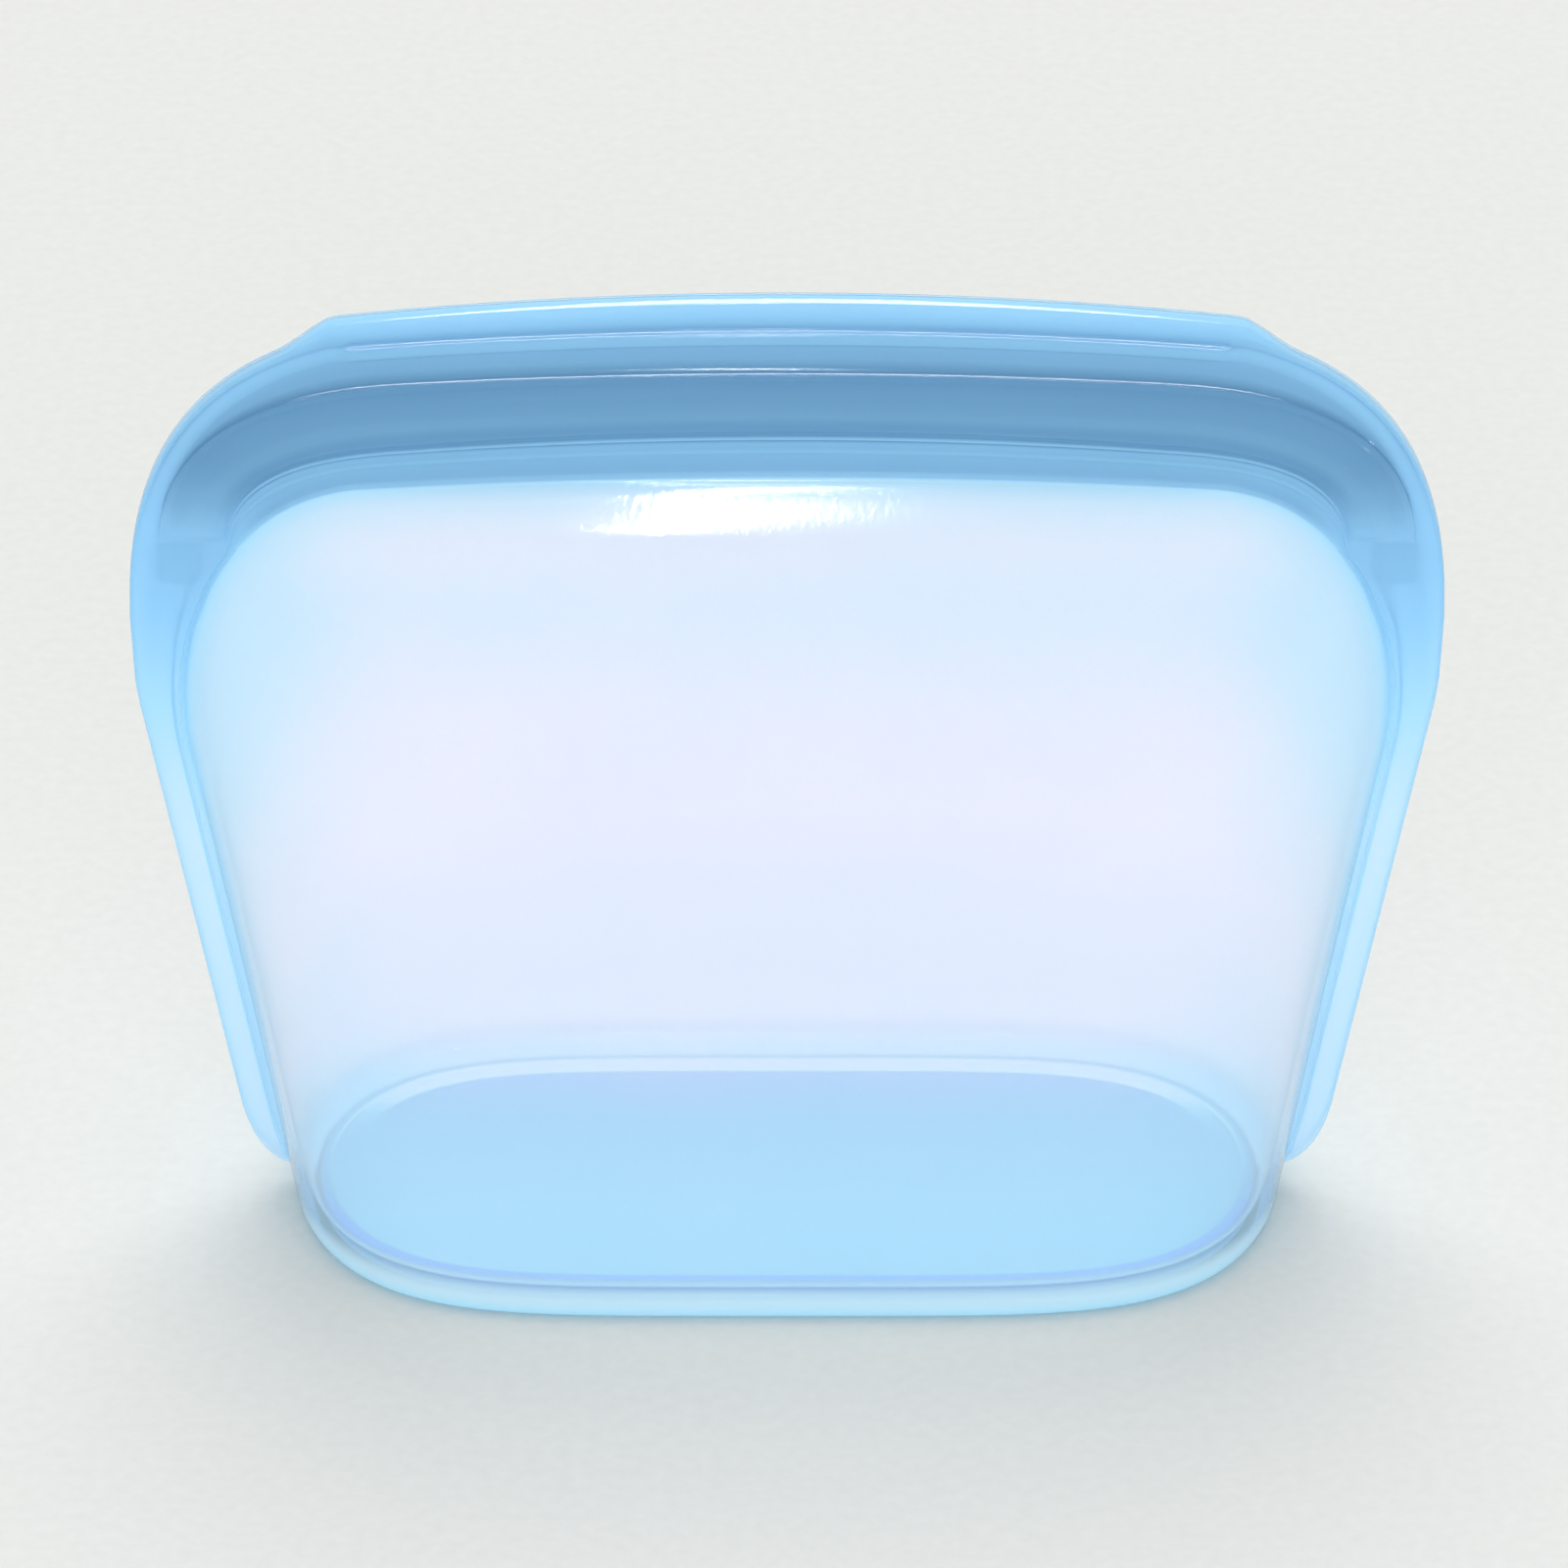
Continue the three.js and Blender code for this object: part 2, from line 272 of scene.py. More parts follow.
def top_column(lines, travelled, lip=1.0):
    """A column above the side, from where its four drawn lines pass. lip is 0 where the lips start."""
    outline, ridge, track, pouch = lines
    inward = Vector((pouch[0] - outline[0], pouch[1] - outline[1])).normalized()

    def below(distance):
        return outline[0] + inward.x * distance, outline[1] + inward.y * distance

    return {
        "tip": (outline[0], outline[1] + tab_height(outline[0])),
        "root": below(EDGE_INSET),
        "ledge": below(LEDGE_DROP),
        "ridge": ridge,
        "track": track,
        "fine": mix_points(track, pouch, FINE_SHARE),
        "pouch": pouch,
        "travelled": travelled / ARCH_LENGTH,
        "lip": lip,
        "edge": EDGE_STEP["lip"],
    }


print("tab height in the middle:", tab_height(0), "mm")

# %% A column on the flange
def side_column(rise):
    """A column on the flange, this far above its foot."""
    share = rise / SIDE_SPAN
    z = FLANGE_FOOT[1] + rise
    pouch_z = POUCH_SIDE_FOOT + POUCH_SIDE_SPAN * share
    outline, pouch = (width_at("outline", z), z), (width_at("pouch", pouch_z), pouch_z)
    end = top_column([on_corner(line, 0) for line in LINES], 0)
    span = math.dist(end["tip"], end["pouch"])
    made = {"tip": outline, "pouch": pouch, "travelled": LENGTHS["side"] * share / ARCH_LENGTH}
    made["rise"] = rise
    made["feet"] = [0.0]
    for name, foot_share in FOOT_SHARES.items():
        end_share = math.dist(end["tip"], end[name]) / span
        made["feet"].append(mix(foot_share, end_share, share ** 3))
        made[name] = mix_points(outline, pouch, made["feet"][-1])
    made["feet"].append(1.0)
    made["lip"] = 0.0
    made["edge"] = mix(EDGE_STEP["side"], EDGE_STEP["lip"], smooth((share - 1 + EDGE_FADE) / EDGE_FADE))
    return made


print("the flange's columns end at a height of", side_column(SIDE_COLUMNS[-1])["tip"][1], "mm")

# %% All the columns of a half
def half_columns():
    made = [side_column(rise) for rise in SIDE_COLUMNS]
    feet, rise = made[-1]["feet"], made[-1]["rise"]
    for share in [0.0, *CORNER_COLUMNS]:
        lines = [on_corner(line, share) for line in LINES]
        travelled = LENGTHS["side"] + LENGTHS["corner"] * share
        made.append(top_column(lines, travelled, smooth(share / LIP_FADE)))
        made[-1].update(feet=feet, rise=rise)
    for share in CROWN_COLUMNS:
        lines = [on_crown(line, share) for line in LINES]
        made.append(top_column(lines, ARCH_LENGTH - LENGTHS["crown"] * (1 - share)))
    return made


HALF = half_columns()
print("columns in one half:", 2 * len(HALF) - 1)

# %% [markdown]
# ## What a column is like across the band
# Each row gives how far the front face stands off the parting plane and how deep the inside is cut.
# From the top: the tab with its rounded edge, the finger groove, the grip ledge, the flat lip, the
# ridge, the thick seal block with two grooves inside, a double line, a fine ridge and the pouch edge.

# %% The rows across the band
# (from line, to line, share, thickness on the lips, thickness on the flange, cut inside)
BAND_ROWS = [
    ("tip", "root", 0.00, 0.4, 0.8, 0),
    ("tip", "root", 0.02, 0.82, 1.2, 0),
    ("tip", "root", 0.03, 0.9, 1.35, 0),
    ("tip", "root", 0.12, 1.6, 1.8, 0),
    ("tip", "root", 0.13, 1.65, 1.84, 0),
    ("tip", "root", 0.18, 1.78, 1.9, 0),
    ("tip", "root", 0.30, 1.8, 1.95, 0),
    ("tip", "root", 0.70, 1.8, 2.0, 0),
    ("tip", "root", 0.88, 1.75, 2.0, 0),
    ("tip", "root", 0.96, 1.4, 2.0, 0),
    ("root", "ledge", 0.05, 1.4, 2.0, 0),
    ("root", "ledge", 0.12, 2.2, 2.0, 0),
    ("root", "ledge", 0.24, 2.6, 2.0, 0),
    ("root", "ledge", 0.40, 2.7, 2.0, 0),
    ("root", "ledge", 0.80, 2.7, 2.0, 0),
    ("root", "ledge", 0.93, 2.5, 2.0, 0),
    ("ledge", "ridge", 0.00, 2.15, 2.0, 0),
    ("ledge", "ridge", 0.08, 2.0, 2.0, 0),
    ("ledge", "ridge", 0.50, 2.0, 2.0, 0),
    ("ledge", "ridge", 0.955, 2.0, 2.0, 0),
    ("ledge", "ridge", 0.97, 2.9, 2.0, 0),
    ("ridge", "track", 0.00, 3.0, 2.0, 0),
    ("ridge", "track", 0.02, 3.0, 2.0, 0),
    ("ridge", "track", 0.08, 2.8, 2.0, 0),
    ("ridge", "track", 0.12, 3.05, 2.0, 0),
    ("ridge", "track", 0.15, 3.15, 2.0, 1.6),
    ("ridge", "track", 0.27, 3.2, 2.0, 1.8),
    ("ridge", "track", 0.39, 3.25, 2.0, 1.6),
    ("ridge", "track", 0.42, 3.3, 2.0, 0),
    ("ridge", "track", 0.54, 3.4, 2.0, 0),
    ("ridge", "track", 0.57, 3.45, 2.0, 1.6),
    ("ridge", "track", 0.69, 3.5, 2.0, 1.8),
    ("ridge", "track", 0.81, 3.35, 2.0, 1.6),
    ("ridge", "track", 0.84, 3.3, 2.0, 0),
    ("ridge", "track", 0.92, 3.2, 2.0, 0),
    ("ridge", "track", 0.97, 2.9, 2.0, 0),
    ("track", "fine", 0.04, 2.4, 2.0, 0),
    ("track", "fine", 0.16, 2.35, 2.0, 0),
    ("track", "fine", 0.24, 2.7, 2.0, 0),
    ("track", "fine", 0.34, 2.7, 2.0, 0),
    ("track", "fine", 0.44, 2.2, 2.0, 0),
    ("track", "fine", 0.60, 2.1, 2.0, 0),
    ("track", "fine", 0.88, 2.15, 2.0, 0),
    ("fine", "pouch", 0.00, 2.5, 2.1, 0),
    ("fine", "pouch", 0.05, 2.5, 2.25, 0),
    ("fine", "pouch", 0.12, 2.15, 2.3, 0),
    ("fine", "pouch", 0.35, 2.1, 2.1, 0),
    ("fine", "pouch", 0.70, 2.1, 1.7, 0),
    ("fine", "pouch", 0.92, 2.1, 1.75, 0),
]
LEDGE_END_X = 70.5
LEDGE_FADE = 1.6
PLAIN_LIP = 2.0
GROOVE_OVER_LEDGE = 0.8  # share of the tab's height where its finger groove starts


def on_ledge(x):
    """1 along the grip ledge and the groove over it, 0 past their ends."""
    return 1 - smooth((x - LEDGE_END_X) / LEDGE_FADE)


def band_thickness(row, column):
    start, _, share, lip, side, _ = row
    grooved = start == "root" or (start == "tip" and share > GROOVE_OVER_LEDGE)
    if grooved or (start, share) == ("ledge", 0.0):
        lip = mix(PLAIN_LIP, lip, on_ledge(column["tip"][0]))
    return mix(side, lip, column["lip"])


print("rows across the band:", len(BAND_ROWS))

# %% [markdown]
# ## How deep the colour is across the band
# Pigmented silicone looks darker where it is thick, so the seal block is the deepest blue and the flange is
# nearly clear. The tints could come from a real volume shader, but that is slow and grainy in a thin skin.
# So a tint is written on each vertex, from short lists of (share of the way, tint). Along the lip's relief
# the tints also hold painted shade and painted light: deep lines in the finger groove and along the ridge's
# step, and paler tops on the fine ridges below the seal.

# %% The band's tints
LIP_TINTS_AND_PAINTED_SHADING = {
    # The deep tints where tip ends and root starts are painted shade in the finger groove, the thinnest part
    # of the lip.
    "tip": ((0, 0.3), (0.1, 0.36), (0.5, 0.42), (0.8, 0.5), (1, 0.8)),
    "root": ((0, 0.82), (0.12, 0.6), (0.3, 0.5), (0.9, 0.54), (1, 0.62)),
    # The deep tints at the end of ledge and the start of ridge are painted shade on the ridge's step, whose
    # upward shelf the overhead light would brighten.
    "ledge": ((0, 0.66), (0.3, 0.68), (0.9, 0.7), (0.96, 0.95), (1, 1)),
    "ridge": (
        (0, 1), (0.06, 0.95), (0.15, 0.96), (0.5, 0.88),
        (0.62, 0.8), (0.72, 0.82), (0.82, 0.95), (1, 1),
    ),
    # Along track, the deep tints at 0.16 and 0.44 are painted shade on either side of the raised fine ridge,
    # and the pale tint between them is painted light on its top. The pale first stop of fine is painted
    # light on the next raised row.
    "track": ((0, 0.9), (0.16, 1), (0.24, 0.5), (0.34, 0.5), (0.44, 1), (0.6, 0.68), (1, 0.56)),
    "fine": ((0, 0.48), (0.08, 0.62), (0.5, 0.66), (0.86, 0.78), (0.95, 0.66), (1, 0.45)),
}
# Over the flange, from its outer edge to the pouch. The narrow peak is the bonded seam.
SIDE_TINTS = (
    (0, 0.42), (0.1, 0.17), (0.55, 0.13), (0.7, 0.18),
    (0.744, 0.62), (0.783, 0.18), (0.92, 0.2), (1, 0.36),
)
SIDE_TOP_TINT = 0.56
DEEPENING = {"from": 62, "over": 70}  # the heights over which the flange deepens to that tint
OUTER_EDGE_SHARE = 0.7  # how much of the deepening its outer edge takes
OUTER_EDGE_WIDTH = 1 / 3
LIP_START = LENGTHS["side"] / ARCH_LENGTH
LIP_COLOUR_FADE = 0.1
FLAT_LIP_SHARE = 0.9  # where the plain flat lip's tint is read


def along_stops(stops, share):
    for (low, low_value), (high, high_value) in zip(stops, stops[1:]):
        if share <= high:
            return mix(low_value, high_value, (share - low) / max(high - low, TINY))
    return stops[-1][1]


def side_tint(place, rise):
    deepening = smooth((rise - DEEPENING["from"]) / DEEPENING["over"])
    deepening *= mix(OUTER_EDGE_SHARE, 1, smooth(place / OUTER_EDGE_WIDTH))
    return mix(along_stops(SIDE_TINTS, place), SIDE_TOP_TINT, deepening)


def band_tint(row, column):
    start, _, share, _, _, _ = row
    lip = along_stops(LIP_TINTS_AND_PAINTED_SHADING[start], share)
    # Past the grip ledge's ends, the groove's painted shade gives way to the plain lip's tint.
    if start in ("tip", "root"):
        plain = along_stops(LIP_TINTS_AND_PAINTED_SHADING["ledge"], FLAT_LIP_SHARE)
        lip = mix(min(plain, lip), lip, on_ledge(column["tip"][0]))
    if "feet" not in column:
        return lip
    starts = list(LIP_TINTS_AND_PAINTED_SHADING)
    place = mix(column["feet"][starts.index(start)], column["feet"][starts.index(start) + 1], share)
    side = side_tint(place, column["rise"])
    return mix(side, lip, smooth((column["travelled"] - LIP_START) / LIP_COLOUR_FADE))


print("tint of the seal block's middle:", along_stops(LIP_TINTS_AND_PAINTED_SHADING["ridge"], 0.5))

# %% [markdown]
# ## The rows over the wall and under the foot
# Below the band each column runs down the wall. The rows stand close together at the pouch's rounded
# shoulder. At the bottom the outside rolls under to the foot, and the inside rolls into the floor.

# %% The rows of the wall and the foot
WALL_STEPS = 34
WALL_CROWDING = 1.7  # above 1, the rows crowd towards the pouch's edge
WALL_ROWS = [(i / WALL_STEPS) ** WALL_CROWDING for i in range(WALL_STEPS + 1)]
# (height outside, set in outside, height inside, set in inside, share of the set-in at the ends)
FOOT_ROWS = [
    (3.2, 0.0, 6.2, 2.2, 1.0),
    (2.5, 0.0, 5.1, 2.7, 0.9),
    (1.5, 0.2, 4.3, 3.5, 0.75),
    (0.73, 0.73, 3.8, 4.5, 0.62),
    (0.2, 1.5, 3.45, 5.6, 0.55),
    (0.0, 2.5, 3.25, 6.6, 0.5),
    (0.0, FOOT_WIDTH, 3.2, FOOT_WIDTH, FOOT_END_WIDTH / FOOT_WIDTH),
]
OUTER_WALL_FOOT, INNER_WALL_FOOT = 4.0, 7.5
ROUNDED_FOOT = 3  # set in by more than this, a row is past the rounding and under the foot
ROW_COUNT = len(BAND_ROWS) + len(WALL_ROWS) + len(FOOT_ROWS)


def wall_point(column, share, inside):
    """A point of the wall on its way from the pouch's edge to the foot."""
    inset = WALL if inside else 0.0
    foot_z = INNER_WALL_FOOT if inside else OUTER_WALL_FOOT
    angle = math.pi / 2 * column["travelled"]
    foot_x, _, _ = foot_point(angle, foot_z, inset)
    x, z = mix_points(column["pouch"], (foot_x, foot_z), share)
    y = wall_y(x, z, inset)
    if inside:
        return x, max(y, PARTING), z
    return x, max(math.hypot(y, column["edge"] * (1 - share)), PARTING), z


def foot_rows_point(column, row, inside):
    outer_z, outer_inset, inner_z, inner_inset, end_share = row
    z, inset = (inner_z, inner_inset) if inside else (outer_z, outer_inset)
    end_inset = inset * end_share if inside or inset > ROUNDED_FOOT else inset
    x, y, z = foot_point(math.pi / 2 * column["travelled"], z, inset, end_inset)
    return x, max(y, PARTING), z


def sheet_point(column, index, inside, grooved):
    """The point of one column on one row, on the outer or the inner face of the front half."""
    if index < len(BAND_ROWS):
        row = BAND_ROWS[index]
        start, end, share, _, _, cut = row
        x, z = mix_points(column[start], column[end], share)
        if inside:
            return x, PARTING + (cut if grooved and column["lip"] == 1 else 0), z
        return x, band_thickness(row, column), z
    index -= len(BAND_ROWS)
    if index < len(WALL_ROWS):
        return wall_point(column, WALL_ROWS[index], inside)
    return foot_rows_point(column, FOOT_ROWS[index - len(WALL_ROWS)], inside)


print("rows down a half:", ROW_COUNT)

# %% The tints of the wall and the foot, and the run of the streaks
# (share of the way from the pouch's edge to the foot, tint), in the middle and at the pouch's ends
WALL_TINTS = (
    (0, 0.3), (0.02, 0.12), (0.06, 0.07), (0.14, 0.1), (0.26, 0.07),
    (0.45, 0.05), (0.64, 0.06), (0.74, 0.12), (0.86, 0.15), (1, 0.18),
)
WALL_END_TINTS = ((0, 0.45), (0.05, 0.34), (0.12, 0.25), (0.3, 0.14), (0.6, 0.1), (1, 0.18))
WALL_MIDDLE = 0.75  # the share of the way round where the middle's tints take over
# Row by row under the foot. Inside the front, they end in the deep line round the floor.
FOOT_TINTS = {
    "outside": (0.18, 0.22, 0.27, 0.3, 0.3, 0.32, 0.38),
    "inside": (0.12, 0.12, 0.12, 0.14, 0.3, 0.9, 1.2),
}
STREAK_LENGTH, STREAK_ROWS = 40.0, 1.6


def sheet_flow(column, index):
    """Where a point lies along the lip's lines and across them, for the moulding streaks."""
    return column["travelled"] * ARCH_LENGTH / STREAK_LENGTH, index / STREAK_ROWS, 0


def sheet_tint(column, index, inside, front):
    if index < len(BAND_ROWS):
        return band_tint(BAND_ROWS[index], column)
    index -= len(BAND_ROWS)
    if index >= len(WALL_ROWS):
        side = "inside" if inside and front else "outside"
        return FOOT_TINTS[side][index - len(WALL_ROWS)]
    share = WALL_ROWS[index]
    middle, end = along_stops(WALL_TINTS, share), along_stops(WALL_END_TINTS, share)
    return mix(end, middle, smooth(column["travelled"] / WALL_MIDDLE))


print("tints on one column:", len(BAND_ROWS), "+", len(WALL_ROWS), "+", len(FOOT_TINTS["outside"]))

# %% [markdown]
# ## One moulded half
# A half could be cut from a block, but silicone is moulded as a thin shell, so it is built as one: a
# grid is laid on the outer face, a copy of it on the inner face, and the rims of the two are bridged.

# %% Put things in the scene
def put(name, data):
    obj = bpy.data.objects.new(name, data)
    bpy.context.collection.objects.link(obj)
    return obj


def finish_mesh(name, bm):
    mesh = bpy.data.meshes.new(name)
    bm.to_mesh(mesh)
    open_edges = sum(not e.is_manifold for e in bm.edges)
    volume = round(bm.calc_volume() * 1e6, 1)
    print(name, "faces:", len(bm.faces), "open edges:", open_edges, "volume, cm3:", volume)
    bm.free()
    mesh.shade_smooth()
    return put(name, mesh)


# %% Build a half
def grid_sheet(bm, inside, grooved):
    """Lays a fresh grid on one face of the front half, and returns its corners."""
    columns = 2 * len(HALF) - 1
    tint, flow = bm.verts.layers.float["tint"], bm.verts.layers.float_vector["flow"]
    made = bmesh.ops.create_grid(bm, x_segments=columns - 1, y_segments=ROW_COUNT - 1, size=1)
    middle = len(HALF) - 1
    for vert in made["verts"]:
        column = round((vert.co.x + 1) / 2 * (columns - 1))
        row = round((1 - vert.co.y) / 2 * (ROW_COUNT - 1))
        place = HALF[middle - abs(column - middle)]
        x, y, z = sheet_point(place, row, inside, grooved)
        vert.co = Vector((math.copysign(x, column - middle), -y, z)) * MM
        vert[tint] = sheet_tint(place, row, inside, grooved)
        vert[flow] = sheet_flow(place, row)
    return made["verts"]


def rim(verts):
    return [e for e in {e for v in verts for e in v.link_edges} if e.is_boundary]


def moulded_half(name, side):
    """side is -1 for the front half and 1 for the back half."""
    bm = bmesh.new()
    bm.verts.layers.float.new("tint")
    bm.verts.layers.float_vector.new("flow")
    outer = grid_sheet(bm, False, side < 0)
    inner = grid_sheet(bm, True, side < 0)
    bmesh.ops.reverse_faces(bm, faces=list({f for v in inner for f in v.link_faces}))
    bmesh.ops.bridge_loops(bm, edges=rim(outer) + rim(inner))
    if side > 0:
        bmesh.ops.scale(bm, vec=(1, -1, 1), verts=bm.verts)
    bmesh.ops.recalc_face_normals(bm, faces=bm.faces)
    return finish_mesh(name, bm)


front_shell = moulded_half("front_shell", -1)
back_shell = moulded_half("back_shell", 1)

# %% [markdown]
# ## The press ribs
# Two rounded ribs on the back lip snap into the front lip's grooves and close the bag. A rib is one
# small rounded section carried along the lip, so it is made from a row of rings bridged together.

# %% Sweep a rib along the back lip
RIB_REACH = 1.45
RIB_START_Z = 129.5
RIB_SPANS = {"upper_rib": (0.19, 0.35), "lower_rib": (0.61, 0.77)}
RIB_SECTION = 12
RIB_SQUARENESS = 0.7  # 1 is a round section, and less is squarer


def rib_ring(bm, column, side, span):
    """One ring of the rib: a half round standing on the back lip and reaching over the parting."""
    ring = bmesh.ops.create_circle(bm, segments=RIB_SECTION, radius=1)["verts"]
    middle, half = (span[0] + span[1]) / 2, (span[1] - span[0]) / 2
    for vert in ring:
        round_x, round_y = vert.co.x, vert.co.y
        across_block = middle + half * math.copysign(abs(round_x) ** RIB_SQUARENESS, round_x)
        x, z = mix_points(column["ridge"], column["track"], across_block)
        reach = RIB_REACH / 2 * (1 + math.copysign(abs(round_y) ** RIB_SQUARENESS, round_y))
        vert.co = Vector((side * x, PARTING - reach, z)) * MM
    return ring


def ring_edges(ring):
    return list({e for v in ring for e in v.link_edges if e.other_vert(v) in ring})


def press_rib(name):
    bm = bmesh.new()
    start, end = RIB_SPANS[name]
    middle = (start + end) / 2
    used = [c for c in HALF if c["lip"] == 1 and mix(c["ridge"][1], c["track"][1], middle) >= RIB_START_Z]
    places = [(c, -1) for c in used] + [(c, 1) for c in reversed(used[:-1])]
    rings = [rib_ring(bm, column, side, (start, end)) for column, side in places]
    for low, high in zip(rings, rings[1:]):
        bmesh.ops.bridge_loops(bm, edges=ring_edges(low) + ring_edges(high))
    for ring in (rings[0], rings[-1]):
        bmesh.ops.edgeloop_fill(bm, edges=ring_edges(ring))
    bmesh.ops.recalc_face_normals(bm, faces=bm.faces)
    return finish_mesh(name, bm)


ribs = [press_rib(name) for name in RIB_SPANS]

# %% [markdown]
# ## The base
# The bag stands on a rounded foot ring, and inside the ring lies a thin floor. It is a disc drawn out
# to the ring's shape, thickened, with its edges eased. Insetting its faces again and again gives it
# rings, so that it can carry the deep line along its front, the pale strip along its back, and a blue
# that deepens towards the back.

# %% How the floor is tinted
FLOOR_TINTS = {"front": 0.42, "back": 1.05}
CREASE_TINT = 1.2
BACK_RIM_TINT = 0.7
PALE_TINT = 0.04
# How far each ring is set in from the last, and what it is
FLOOR_RINGS = (
    (0.5, "rim"), (0.7, "crease"), (0.4, "pale"), (2.9, "pale"), (0.8, "floor"),
    (5.0, "floor"), (6.0, "floor"), (6.0, "floor"), (6.0, "floor"),
)
EDGE_CHANGE, FLOOR_CHANGE = 40.0, 60.0  # how far from front to back the tints take to change
PALE_START, PALE_CHANGE = 8.0, 16.0


def floor_tint(kind, y):
    front = smooth(0.5 - y / EDGE_CHANGE)
    plain = mix(FLOOR_TINTS["back"], FLOOR_TINTS["front"], smooth(0.5 - y / FLOOR_CHANGE))
    if kind == "floor":
        return plain
    if kind == "rim":
        return mix(BACK_RIM_TINT, CREASE_TINT, front)
    if kind == "crease":
        return mix(PALE_TINT, CREASE_TINT, front)
    return mix(plain, PALE_TINT, smooth((y - PALE_START) / PALE_CHANGE))


print("rings inside the floor's edge:", len(FLOOR_RINGS))

# %% Build the floor
PANEL_SEGMENTS = 160
PANEL_UNDERSIDE, PANEL_TOP = 1.2, 3.1
PANEL_GAP = 0.1
PANEL_EASE, PANEL_EASE_STEPS = 0.5, 3


def base_floor(name):
    bm = bmesh.new()
    tint = bm.verts.layers.float.new("tint")
    bmesh.ops.create_circle(bm, cap_ends=True, segments=PANEL_SEGMENTS, radius=1)
    for vert in bm.verts:
        angle = math.atan2(vert.co.y, vert.co.x)
        x, y, _ = foot_point(angle, 0, FOOT_WIDTH + PANEL_GAP, FOOT_END_WIDTH + PANEL_GAP)
        vert.co = Vector((x, math.copysign(y, vert.co.y), PANEL_UNDERSIDE)) * MM
    drawn = bmesh.ops.extrude_face_region(bm, geom=bm.faces[:])["geom"]
    raised = [v for v in drawn if isinstance(v, bmesh.types.BMVert)]
    bmesh.ops.translate(bm, vec=(0, 0, (PANEL_TOP - PANEL_UNDERSIDE) * MM), verts=raised)
    rims = [e for e in bm.edges if abs(e.verts[0].co.z - e.verts[1].co.z) < TINY]
    bmesh.ops.bevel(
        bm, geom=rims, offset=PANEL_EASE * MM, segments=PANEL_EASE_STEPS,
        affect="EDGES", profile=0.5, material=-1,
    )
    for vert in bm.verts:
        vert[tint] = floor_tint("rim", vert.co.y / MM)
    caps = [f for f in bm.faces if len(f.verts) == PANEL_SEGMENTS]
    for thickness, kind in FLOOR_RINGS:
        bmesh.ops.inset_region(bm, faces=caps, thickness=thickness * MM, use_even_offset=True)
        for vert in {v for face in caps for v in face.verts}:
            vert[tint] = floor_tint(kind, vert.co.y / MM)
    bmesh.ops.recalc_face_normals(bm, faces=bm.faces)
    return finish_mesh(name, bm)


base_floor_piece = base_floor("base_floor")

# %% [markdown]
# ## Bodies
# The pouch stands still and the two lips open. Each half is one skin across that joint, so it follows
# the pouch low down, the lip high up, and turns smoothly between the two.

# %% Place the pieces on their bodies
BLEND_START = (0, 0, 0.122)
BLEND_END = (0, 0, 0.150)
MOULDED_ZONES = [
    "wall", "left_flange", "right_flange", "throat_wall", "lower_band",
    "closure_block", "lip_strip", "grip_ledge", "grip_tab",
]

for shell, side in ((front_shell, "front"), (back_shell, "back")):
    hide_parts(*[f"{side}_{zone}" for zone in MOULDED_ZONES], "foot_ring")
    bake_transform(shell, "pouch", f"{side}_lip", start=BLEND_START, end=BLEND_END)
for rib in ribs:
    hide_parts(rib.name.replace("rib", "press_rib"))
    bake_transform(rib, "pouch", "back_lip", start=BLEND_START, end=BLEND_END)
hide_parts("base_panel")
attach(base_floor_piece, "pouch")
print("CAD nodes that each shell takes the place of:", len(MOULDED_ZONES) + 1)

# %% [markdown]
# ## Silicone
# The real material is clear with a little blue pigment, so its colour deepens with its thickness. Each
# half carries a tint value, drawn in with its rows, and two ramps turn it into a colour and a share of
# light held back. The thick foot holds back more. A slow noise clouds the tint, a fine one gives it
# grain, and a third draws faint streaks along the lip. The gloss is mixed in on top by silicone's
# index of refraction.

# %% The silicone's colours
# (tint, the colour in sRGB), from clear to the deepest
COLOURS = (
    (0.0, (255, 246, 255)), (0.06, (243, 242, 255)), (0.12, (210, 238, 255)),
    (0.28, (178, 231, 255)), (0.45, (152, 214, 250)), (0.7, (124, 180, 220)),
    (0.85, (110, 164, 204)), (1.0, (96, 149, 191)), (1.2, (40, 150, 255)),
)
BASE_COLOURS = (
    (0.0, (238, 250, 255)), (0.45, (112, 206, 238)), (0.7, (88, 188, 226)),
    (1.0, (62, 164, 220)), (1.2, (24, 136, 255)),
)
# (tint, the share of light held back)
COVER = (
    (0.0, 0.34), (0.12, 0.39), (0.28, 0.47), (0.45, 0.56),
    (0.7, 0.7), (1.0, 0.86), (1.2, 0.95),
)
DEEPEST = 1.2  # the tint at the ramps' far end


def linear(channel):
    """One sRGB channel, from 0 to 255, as linear light."""
    c = channel / 255
    return c / 12.92 if c <= 0.04045 else ((c + 0.055) / 1.055) ** 2.4


def colour(red, green, blue):
    return linear(red), linear(green), linear(blue), 1


print("deepest blue in linear light:", [round(v, 3) for v in colour(*COLOURS[-1][1])])

# %% Helpers that add nodes
def ramp(nodes, stops):
    node = nodes.new("ShaderNodeValToRGB")
    elements = node.color_ramp.elements
    while len(elements) < len(stops):
        elements.new(0.5)
    for element, (position, value) in zip(elements, stops):
        element.position = position
        element.color = value
    return node


def noise(nodes, links, source, scale, detail):
    node = nodes.new("ShaderNodeTexNoise")
    node.inputs["Scale"].default_value = scale
    node.inputs["Detail"].default_value = detail
    links.new(source, node.inputs["Vector"])
    return node.outputs["Fac"]


def maths(nodes, links, operation, *values):
    """A sum on numbers or other nodes' outputs."""
    node = nodes.new("ShaderNodeMath")
    node.operation = operation
    for socket, value in zip(node.inputs, values):
        if isinstance(value, (int, float)):
            socket.default_value = value
        else:
            links.new(value, socket)
    return node.outputs["Value"]


